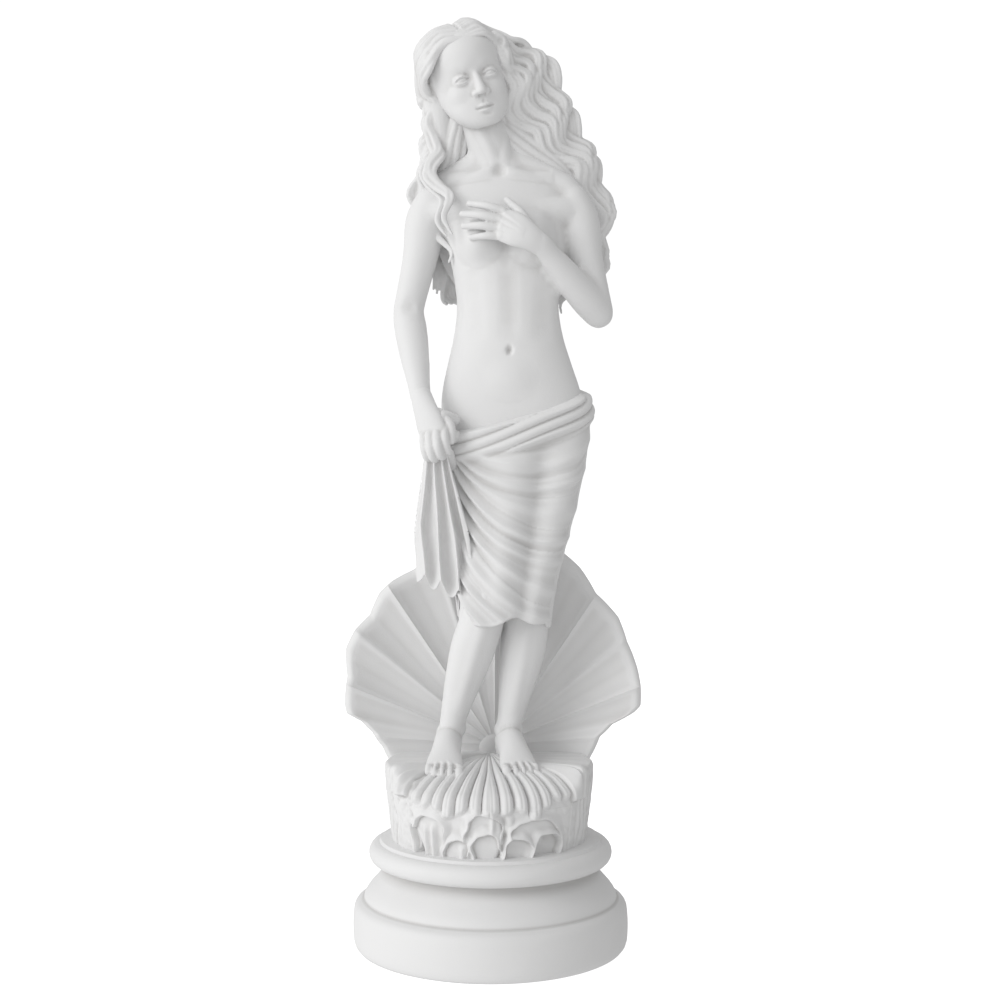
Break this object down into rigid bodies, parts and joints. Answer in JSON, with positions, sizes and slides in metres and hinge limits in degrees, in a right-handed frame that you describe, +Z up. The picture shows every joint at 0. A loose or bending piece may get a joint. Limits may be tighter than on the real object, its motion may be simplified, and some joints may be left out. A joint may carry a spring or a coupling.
{
  "type": "aphrodite statuette",
  "caption": "Standing Aphrodite with cloth round her hips, before an upright scallop shell on a turned base, a white cast resin figurine that rests on its flat underside.",
  "frame": {"origin": "centre of the flat round underside of the turned base", "axes": "+Z up along the height of the figure, +X towards her left, the front of the figure and of both shells faces -Y"},
  "size_m": [0.0985, 0.0886, 0.2993],
  "materials": {
    "white_cast_resin": "matt white cast resin like fine plaster"
  },
  "bodies": {
    "root": {"aphrodite_statuette": "white_cast_resin"}
  },
  "joints": []
}
